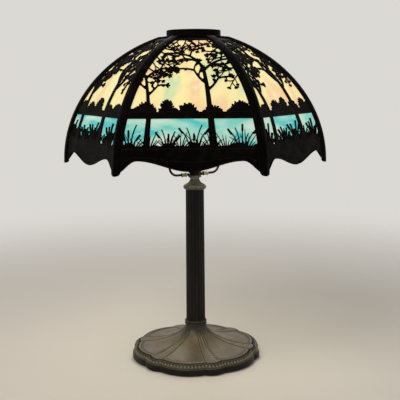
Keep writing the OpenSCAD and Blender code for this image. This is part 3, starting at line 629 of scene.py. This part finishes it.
def cast_base():
    """The lobed trumpet with its plinth, hollow border and a hollow underside."""
    around = 720
    turn = full_turn(around)
    rows = [on_rim(turn, inset, z) for inset, z in BORDER_PROFILE]
    start = rim(turn, TRUMPET_INSET)
    steps = 45
    for i in range(steps + 1):
        u = (1 - i / steps) ** 1.7
        r = NECK_R + (start - NECK_R) * u
        dish = LOBE_DISH * np.cos(np.radians(6 * turn)) * math.sin(math.pi * u) * (1 - u)
        rows.append(on_base(turn, r, np.maximum(trumpet(r), BORDER_TOP) - np.maximum(dish, 0)))
    under = [(NECK_R - 1.0, NECK_TOP), (STEM_HOLE_R, NECK_TOP), (STEM_HOLE_R, WEB_Z), (WEB_R, WEB_Z)]
    for i in range(12):
        r = WEB_EDGE_R + (CAVITY_R - WALL - WEB_EDGE_R) * i / 11
        under.append((r, min(WEB_Z, float(trumpet(r + WALL)) - WALL)))
    under.append((CAVITY_R, CAVITY_EDGE))
    under.append((CAVITY_R, BASE_FOOT))
    rows.extend(on_base(turn, r, z) for r, z in under)
    parts = Parts()
    parts.add(np.concatenate(rows), grid_faces(len(rows), around))
    made = piece("cast_base", parts, SPELTER, "stand")
    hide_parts("base_casting")
    cut_inlet(made)


def band_line(k, side, gap, beside, lift):
    """A line down one side of the band on slim lobe k, a gap out from the band's inner line."""
    path = []
    for i in range(25):
        u = i / 24
        r = BAND_IN + (BAND_OUT - BAND_IN) * u
        away = side * (BAND_NARROW + gap * 0.6 + (BAND_FLARE + gap * 0.5) * u ** 1.15 + beside)
        path.append(on_base(60 * k + 30 + math.degrees(math.asin(away / r)), r, trumpet(r) + lift))
    return path


def lobe_line(k, inset, short, lift):
    """A line inside the border of wide lobe k, ending short of its corners by some degrees."""
    turn = np.linspace(60 * k - LOBE_WIDE + short, 60 * k + LOBE_WIDE - short, 41)
    r = rim(turn, inset)
    return on_base(turn, r, np.maximum(trumpet(r), BORDER_TOP) + lift)


def base_mouldings():
    """Raised lines down both sides of each slim lobe, a double line inside each wide lobe's border, and a
    bead below the egg and dart and one along its rim."""
    parts = Parts()
    for k in LOBES:
        for side in SIDES:
            for gap, size in BAND_LINES:
                tube(parts, band_line(k, side, gap, beside=0.0, lift=0.1), size)
        for inset, size in LOBE_LINES:
            tube(parts, lobe_line(k, inset, short=0.6, lift=0.1), size)
    for inset, z, size in RIM_BEADS:
        tube(parts, on_rim(full_turn(720), inset, z), size, sides=6, closed=True)
    piece("base_mouldings", parts, GRIMED, "stand")


def base_grime_and_groove_shade():
    """Dark strips along the raised lines and in the channel inside the border: packed dirt, and painted shade
    for the grooves beside the lines and the channel's depth.
    """
    parts = Parts()
    for k in LOBES:
        for side in SIDES:
            for gap, beside, size in BAND_GRIME_AND_SHADE:
                tube(parts, band_line(k, side, gap, beside, lift=0.0), size, sides=6)
        for inset, size in LOBE_GRIME_AND_SHADE:
            tube(parts, lobe_line(k, inset, short=0.9, lift=-0.05), size, sides=6)
    tube(parts, on_rim(full_turn(720), CHANNEL_INSET, CHANNEL_Z), CHANNEL_GRIME_AND_SHADE, sides=6, closed=True)
    piece("base_grime_and_groove_shade", parts, BLACKED, "stand")


def base_husks():
    """A chain of graded husks between the lines of each slim lobe, leafed where they are large."""
    parts = Parts()
    for k in LOBES:
        r = HUSK_IN
        size = 1.0
        while r < HUSK_OUT:
            here = on_base(60 * k + 30, r, trumpet(r))
            along = on_base(60 * k + 30, r + 1.0, trumpet(r + 1.0)) - here
            side = np.cross(along, (0, 0, 1.0))
            out = np.cross(side, along)
            side = side / np.linalg.norm(side)
            stud(parts, here + 0.1, along, out, length=1.9 * size, width=1.05 * size, height=0.9)
            if size > HUSK_LEAFED:
                for hand in SIDES:
                    at = here + 1.5 * size * hand * side
                    stud(parts, at, along + 0.9 * hand * side, out,
                         length=1.6 * size, width=0.7 * size, height=0.7)
            r += HUSK_PITCH * size
            size += HUSK_GROWTH
    piece("base_husks", parts, GRIMED, "stand")


def border_eggs():
    """Egg and dart round the slanted border."""
    parts = Parts()
    turn = np.linspace(0, 360, 7201)[:-1]
    line = on_rim(turn, *EGG_MIDDLE)
    length = np.concatenate([[0], np.cumsum(np.linalg.norm(np.roll(line, -1, 0) - line, axis=1))])
    for i in range(2 * EGGS):
        at = turn[np.searchsorted(length, length[-1] * i / (2 * EGGS)) % len(turn)]
        low = on_rim(at, *EGG_LOW)
        high = on_rim(at, *EGG_HIGH)
        ahead = on_rim(at + 0.2, *EGG_MIDDLE) - on_rim(at - 0.2, *EGG_MIDDLE)
        up = high - low
        out = np.cross(ahead, up)
        middle = (low + high) / 2
        if i % 2 == 0:
            stud(parts, middle, up, out, length=3.0, width=2.05, height=1.5)
        else:
            stud(parts, middle - 0.25 * up, up, out, length=1.7, width=0.65, height=1.0, sides=6)
    piece("border_eggs", parts, RUBBED, "stand")


def felt_ring():
    """Felt under the base, cut to its outline, with softened fuzzy edges."""
    around = 360
    turn = full_turn(around)
    shake = random.Random(4)
    fuzz = np.array([shake.uniform(-FELT_FUZZ, FELT_FUZZ) for _ in range(around)])
    outer = rim(turn, FELT_INSET) + fuzz
    inner = FELT_IN_R - fuzz
    section = [(outer - 0.5, 0.0), (outer, 0.4), (outer, 1.6), (outer - 0.4, BASE_FOOT),
               (inner + 0.4, BASE_FOOT), (inner, 1.5), (inner, 0.5), (inner + 0.5, 0.0)]
    parts = Parts()
    parts.add(np.concatenate([on_base(turn, r, z) for r, z in section]), grid_faces(len(section), around))
    made = piece("felt_ring", parts, FELT, "stand")
    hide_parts("base_felt")


# Shade


def on_panel(k, x, s, r):
    """Points of panel k from their place across it, their run up the bend and their reach from its axis."""
    a = np.asarray(s, float) / FRET_OUT
    out = AXIS_X + r * np.cos(a)
    z = AXIS_Z + r * np.sin(a)
    turn = math.radians(60 * k - 150)
    x = np.asarray(x, float)
    east = out * math.cos(turn) - x * math.sin(turn)
    north = out * math.sin(turn) + x * math.cos(turn)
    return np.stack(np.broadcast_arrays(east, north, z), -1)


def run_of(angle):
    """Run up the bend to an angle in degrees."""
    return FRET_OUT * math.radians(angle)


def run_to(height):
    """Run up the bend to a height above its axis."""
    return FRET_OUT * math.asin(height / FRET_OUT)


def half_width(s, border):
    """Half the width of a panel at a run up the bend, less a border."""
    return (AXIS_X + FRET_OUT * math.cos(s / FRET_OUT)) * math.tan(HALF) - border


def slab(parts, k, left, right, outer=TRIM_OUT):
    """A flat strip of metal on panel k between two edges, each a list of (x, s)."""
    left, right = np.asarray(left, float), np.asarray(right, float)
    n = len(left)
    points = []
    for r in (TRIM_IN, outer):
        for edge in (left, right):
            points.extend(on_panel(k, edge[:, 0], edge[:, 1], r))
    faces = []
    for i in range(n - 1):
        a, b, c, d = i, n + i, 2 * n + i, 3 * n + i
        faces.append((a, a + 1, b + 1, b))
        faces.append((c, d, d + 1, c + 1))
        faces.append((a, c, c + 1, a + 1))
        faces.append((b, b + 1, d + 1, d))
    faces.append((0, n, 3 * n, 2 * n))
    faces.append((n - 1, 3 * n - 1, 4 * n - 1, 2 * n - 1))
    parts.add(points, faces)


def twig(parts, k, start, heading, length, bend, wide, fine):
    """A curved twig that tapers from wide to fine; returns its points and headings."""
    steps = 6
    path, headings = [], []
    at = np.array(start, float)
    for _ in range(steps + 1):
        path.append(at.copy())
        headings.append(heading)
        heading += bend / steps
        at = at + length / steps * np.array([math.sin(heading), math.cos(heading)])
    left, right = [], []
    for i, (p, h) in enumerate(zip(path, headings)):
        w = (wide + (fine - wide) * i / steps) / 2
        square = np.array([math.cos(h), -math.sin(h)])
        left.append(p - w * square)
        right.append(p + w * square)
    slab(parts, k, left, right)
    return path, headings


def leaf(parts, k, draw, at, heading):
    """A pointed leaf cut from sheet metal, in a size drawn for it."""
    length = draw.uniform(*LEAF_LONG)
    width = draw.uniform(*LEAF_WIDE)
    ahead = np.array([math.sin(heading), math.cos(heading)])
    square = np.array([math.cos(heading), -math.sin(heading)])
    left, right = [], []
    for u, w in ((0.0, 0.16), (0.22, 0.8), (0.45, 1.0), (0.72, 0.66), (1.0, 0.06)):
        left.append(at + u * length * ahead - 0.5 * w * width * square)
        right.append(at + u * length * ahead + 0.5 * w * width * square)
    slab(parts, k, left, right)


def in_window(at, border):
    """Whether a point (x, s) lies in the high window, less a border at its sides."""
    low = run_of(BAR_HIGH) + 12
    high = run_of(WINDOW_TOP) + 4
    return abs(at[0]) < half_width(at[1], border) and low < at[1] < high


def leaf_sprays(k):
    """Leafy branches that hang into the high window from its frame, finer than the pierced panel carries."""
    parts = Parts()
    draw = random.Random(40 + k)
    top = run_of(WINDOW_TOP)
    starts = []
    for i in range(TOP_SPRAYS):
        x = (i - 2) * TOP_GAP + draw.uniform(-1.5, 1.5)
        heading = math.pi - x * 0.02 + draw.uniform(-0.3, 0.3)
        starts.append((x, top + 2.0, heading, draw.uniform(*TOP_LONG)))
    for side in SIDES:
        for i in range(SIDE_SPRAYS):
            s = top - SIDE_DROP - i * SIDE_GAP + draw.uniform(-2, 2)
            heading = math.pi + side * draw.uniform(0.5, 1.2)
            length = draw.uniform(*SIDE_LONG) * (1 - 0.04 * i)
            starts.append((side * half_width(s, SPRAY_ROOT), s, heading, length))
    for x, s, heading, length in starts:
        path, headings = twig(parts, k, (x, s), heading, length, draw.uniform(-0.9, 0.9),
                              wide=2.0, fine=1.1)
        ends = [(path[-1], headings[-1])]
        for i, hand in ((2, -1), (3, 1), (4, -1)):
            turn = headings[i] + hand * draw.uniform(0.55, 0.95)
            if in_window(path[i], 12):
                side_path, side_headings = twig(parts, k, path[i], turn, draw.uniform(*TWIG_LONG),
                                                draw.uniform(-0.7, 0.7), wide=1.3, fine=0.9)
                ends.append((side_path[-1], side_headings[-1]))
        for at, way in ends:
            if in_window(at, 7):
                for spread in (-0.75, 0.1, 0.85):
                    leaf(parts, k, draw, at, way + spread + draw.uniform(-0.2, 0.2))
    piece(f"leaf_sprays_{k}", parts, BLACKED, "shade", smooth=False)


def grass_clump(parts, k, draw, x):
    """Blades that fan out from one foot on the skirt into the low window."""
    for i in range(BLADES):
        lean = (i - 3) * 0.15 + draw.uniform(-0.08, 0.08)
        start = (x + (i - 3) * 1.5, run_of(SKIRT_TOP) - 1.0)
        twig(parts, k, start, lean, draw.uniform(*BLADE_LONG), lean * 1.2, wide=2.7, fine=0.7)


def bush(parts, k, draw, x, half, tall):
    """A rounded bush on the bar under the high window, half its width each way, with leaves round it."""
    foot = run_of(BAR_HIGH) - 1.0
    left, right = [], []
    for i in range(8):
        turn = math.radians(90 - 82 * i / 7)
        left.append((x - half * math.sin(turn), foot + tall * math.cos(turn)))
        right.append((x + half * math.sin(turn), foot + tall * math.cos(turn)))
    slab(parts, k, left, right)
    for i in range(BUSH_LEAVES):
        turn = math.radians(12 * i - 84) + draw.uniform(-0.1, 0.1)
        at = np.array([x + 0.9 * half * math.sin(turn), foot + 0.9 * tall * math.cos(turn)])
        leaf(parts, k, draw, at, turn + draw.uniform(-0.4, 0.4))


def shore_growth(k):
    """Grass and bushes along the shore, finer than the pierced panel carries."""
    parts = Parts()
    draw = random.Random(70 + k)
    reach = half_width(run_of(SKIRT_TOP), 16)
    for i in range(CLUMPS):
        grass_clump(parts, k, draw, reach * ((2 * i + 1) / CLUMPS - 1) + draw.uniform(-6, 6))
    reach = half_width(run_of(BAR_HIGH), 14)
    for i in range(BUSHES):
        x = reach * ((2 * i + 1) / BUSHES - 1) + draw.uniform(-6, 6)
        bush(parts, k, draw, x, draw.uniform(*BUSH_HALF), draw.uniform(*BUSH_TALL))
    piece(f"shore_growth_{k}", parts, BLACKED, "shade", smooth=False)


def skirt_edge(x):
    """Height of the skirt's lower edge above the bend's axis at a distance from the panel's middle."""
    crown = ARCH_PLACE * SHADE_SIDE
    x = abs(x)
    if x <= crown:
        return MID_LOW + (ARCH_LOW - MID_LOW) * (1 - math.cos(math.pi * x / crown)) / 2
    u = (x - crown) / (SHADE_SIDE - crown)
    return TIP_LOW + (ARCH_LOW - TIP_LOW) * (1 + math.cos(math.pi * min(u, 1.0))) / 2


def bead(parts, k, line, lift, size):
    """A bead along a line of (x, s) on panel k, its middle lifted from the panel's face."""
    tube(parts, [on_panel(k, x, s, FRET_OUT + lift) for x, s in line], size)


def shade_beading(k):
    """Rolled bead along the skirt's edge, a line above it, and fillets beside the ribs, on panel k."""
    parts = Parts()
    reach = SHADE_SIDE - 6.0
    across = [reach * (i / 40 - 1) for i in range(81)]
    bead(parts, k, [(x, run_to(skirt_edge(x) + 1.0)) for x in across], -0.4, 1.35)
    across = [(reach - 9.0) * (i / 30 - 1) for i in range(61)]
    bead(parts, k, [(x, run_to(0.45 * skirt_edge(x) + 17.0)) for x in across], -0.2, 0.8)
    for angle, size in ((SKIRT_TOP, 1.0), (BAR_LOW, 0.7), (BAR_HIGH, 0.7)):
        s = run_of(angle)
        ends = half_width(s, RIB_COVER)
        bead(parts, k, [(ends * (i / 8 - 1), s) for i in range(17)], -0.1, size)
    runs = [run_of(FILLET_LOW + (FILLET_HIGH - FILLET_LOW) * i / 40) for i in range(41)]
    for side in SIDES:
        bead(parts, k, [(side * half_width(s, RIB_COVER), s) for s in runs], 0.2, 0.8)
    piece(f"shade_beading_{k}", parts, BEADED, "shade")


def corner_drops():
    """Rounded ends that hang from the corner ribs, below the skirts."""
    parts = Parts()
    corner = (AXIS_X + RIB_OUT) * math.tan(HALF)
    for k in PANELS:
        for side in SIDES:
            low, high = [], []
            for i in range(13):
                away = DROP_WIDE * i / 12
                sink = DROP_DEEP * math.sqrt(1 - (i / 12) ** 2)
                low.append((side * (corner - away), DROP_TOP - sink))
                high.append((side * (corner - away), DROP_TOP + 0.8))
            slab(parts, k, low, high, outer=RIB_OUT)
    piece("corner_drops", parts, BLACKED, "shade", smooth=False)


def finial_ribs():
    """A milled edge round the finial's foot and fine ribs up its knob, for a grip."""
    parts = Parts()
    foot_ribs, knob_ribs = 30, 14
    for i in range(foot_ribs):
        a = 2 * math.pi * i / foot_ribs
        foot = np.array([FINIAL_FOOT_R * math.cos(a), FINIAL_FOOT_R * math.sin(a), FINIAL_Z])
        tube(parts, [foot + (0, 0, 0.3), foot + (0, 0, 1.7)], 0.42, sides=6)
    for i in range(knob_ribs):
        a = 2 * math.pi * i / knob_ribs
        path = []
        for k in range(9):
            t = math.radians(-30 + 95 * k / 8)
            r = FINIAL_R * math.cos(t)
            path.append((r * math.cos(a), r * math.sin(a), FINIAL_BALL + FINIAL_R * math.sin(t)))
        tube(parts, path, 0.34, sides=6)
    piece("finial_ribs", parts, BRASS, "finial")


# Finishes of the solids that stay


def dress_solids():
    """Gives each solid its own finish, or else its slot's."""
    for part in frame["record"]["subparts"]:
        solid = nodes[part["node"]]
        solid.data.materials.clear()
        solid.data.materials.append(OWN_FINISH.get(part["node"], SLOT_FINISH[part["material_slot"]]))


def soften(names, width):
    """Rounds the sharp edges of solids, as casting and pressing leave them."""
    for name in names:
        solid = nodes[name]
        weld = solid.modifiers.new("join_corners", "WELD")
        weld.merge_threshold = 0.02 * MM
        bevel = solid.modifiers.new("rounded_edges", "BEVEL")
        bevel.width = width * MM
        bevel.segments = 2
        bevel.limit_method = "ANGLE"
        bevel.angle_limit = math.radians(40)


# Set and camera


def pale_floor():
    """A pale floor under the lamp that fades out into the room."""
    half = 4.0
    mesh = bpy.data.meshes.new("floor")
    mesh.from_pydata([(-half, -half, 0), (half, -half, 0), (half, half, 0), (-half, half, 0)], [],
                     [(0, 1, 2, 3)])
    floor = bpy.data.objects.new("floor", mesh)
    scene.collection.objects.link(floor)
    material, tree, place = new_finish("pale_floor")
    far = add(tree, "ShaderNodeVectorMath", {0: place}, operation="LENGTH")
    fade = add(tree, "ShaderNodeMapRange", {"Value": far.outputs["Value"], "From Min": 0.35, "From Max": 1.7},
               interpolation_type="SMOOTHERSTEP")
    below = add(tree, "ShaderNodeNewGeometry").outputs["Backfacing"]
    gone = add(tree, "ShaderNodeMath", {0: fade.outputs[0], 1: below}, operation="MAXIMUM")
    paper = add(tree, "ShaderNodeBsdfDiffuse", {"Color": linear("#dedad4")})
    clear = add(tree, "ShaderNodeBsdfTransparent")
    both = add(tree, "ShaderNodeMixShader", {0: gone.outputs[0], 1: paper.outputs[0], 2: clear.outputs[0]})
    add(tree, "ShaderNodeOutputMaterial", {"Surface": both.outputs[0]})
    mesh.materials.append(material)


def soft_room():
    """A pale room that eye, metal and glass see, and that lights the lamp more softly."""
    world = bpy.data.worlds.new("soft_room")
    scene.world = world
    world.use_nodes = True
    tree = world.node_tree
    tree.nodes.clear()
    rays = add(tree, "ShaderNodeLightPath").outputs
    direct = add(tree, "ShaderNodeMath", {0: rays["Is Camera Ray"], 1: rays["Is Glossy Ray"]},
                 operation="MAXIMUM")
    seen = add(tree, "ShaderNodeMath", {0: direct.outputs[0], 1: rays["Is Transmission Ray"]},
               operation="MAXIMUM")
    level = add(tree, "ShaderNodeMapRange", {"Value": seen.outputs[0], "To Min": 0.34, "To Max": 0.80})
    sky = add(tree, "ShaderNodeBackground", {"Color": linear("#f2efea"), "Strength": level.outputs[0]})
    add(tree, "ShaderNodeOutputWorld", {"Surface": sky.outputs[0]})


def light_box(name, place, aim, size, power, colour):
    """A round soft box at a place, aimed at a point."""
    lamp = bpy.data.lights.new(name, "AREA")
    lamp.shape = "DISK"
    lamp.size = size
    lamp.energy = power
    lamp.color = linear(colour)[:3]
    made = bpy.data.objects.new(name, lamp)
    made.location = place
    made.rotation_euler = (Vector(aim) - Vector(place)).to_track_quat("-Z", "Y").to_euler()
    scene.collection.objects.link(made)


def bulb_light():
    """The bulb's own light, which passes its glass."""
    bulb = bpy.data.lights.new("bulb_light", "POINT")
    bulb.energy = 2.0
    bulb.color = linear("#fff0dc")[:3]
    bulb.shadow_soft_size = 30 * MM
    made = bpy.data.objects.new("bulb_light", bulb)
    made.location = (0, 0, BULB_MID * MM)
    scene.collection.objects.link(made)
    nodes["bulb_glass"].visible_shadow = False


def photo_camera():
    """The camera that the photograph's corners, rim and foot fit."""
    swing, pan, pitch, roll = (math.radians(a) for a in (SWING, PAN, PITCH, ROLL))
    turned = Matrix.Rotation(swing, 3, "Z")
    right = turned @ Vector((math.cos(pan), -math.sin(pan), 0))
    level = turned @ Vector((math.sin(pan), math.cos(pan), 0))
    ahead = level * math.cos(pitch) - Vector((0, 0, math.sin(pitch)))
    up = level * math.sin(pitch) + Vector((0, 0, math.cos(pitch)))
    side = right * math.cos(roll) + up * math.sin(roll)
    over = up * math.cos(roll) - right * math.sin(roll)
    lens = bpy.data.cameras.new("camera")
    lens.sensor_width = SENSOR
    lens.lens = SENSOR * FOCAL_PX / FRAME_PX
    lens.clip_end = 50
    made = bpy.data.objects.new("camera", lens)
    place = turned @ Vector(CAMERA_PLACE)
    made.matrix_world = Matrix.Translation(place) @ Matrix((side, over, -ahead)).transposed().to_4x4()
    scene.collection.objects.link(made)
    scene.camera = made


photo_camera()
dress_solids()
soften(["crown_ring", "crown_spider", "harp_saddle", "switch_key", "stem_nut", "base_collar"], width=0.5)
soften([f"corner_rib_{k}" for k in PANELS], width=0.5)
cast_base()
base_mouldings()
base_grime_and_groove_shade()
base_husks()
border_eggs()
felt_ring()
for panel in PANELS:
    leaf_sprays(panel)
    shore_growth(panel)
    shade_beading(panel)
corner_drops()
finial_ribs()
pale_floor()
soft_room()
light_box("key_box", place=(-0.9, -1.1, 1.9), aim=(0, 0, 0.25), size=1.1, power=15, colour="#fff6ea")
light_box("fill_box", place=(1.5, -1.2, 0.9), aim=(0, 0, 0.25), size=1.2, power=4, colour="#f4f6ff")
light_box("back_box", place=(-0.1, 1.6, 1.5), aim=(0, 0, 0.3), size=1.0, power=7, colour="#ffffff")
bulb_light()
scene.view_settings.view_transform = "Standard"
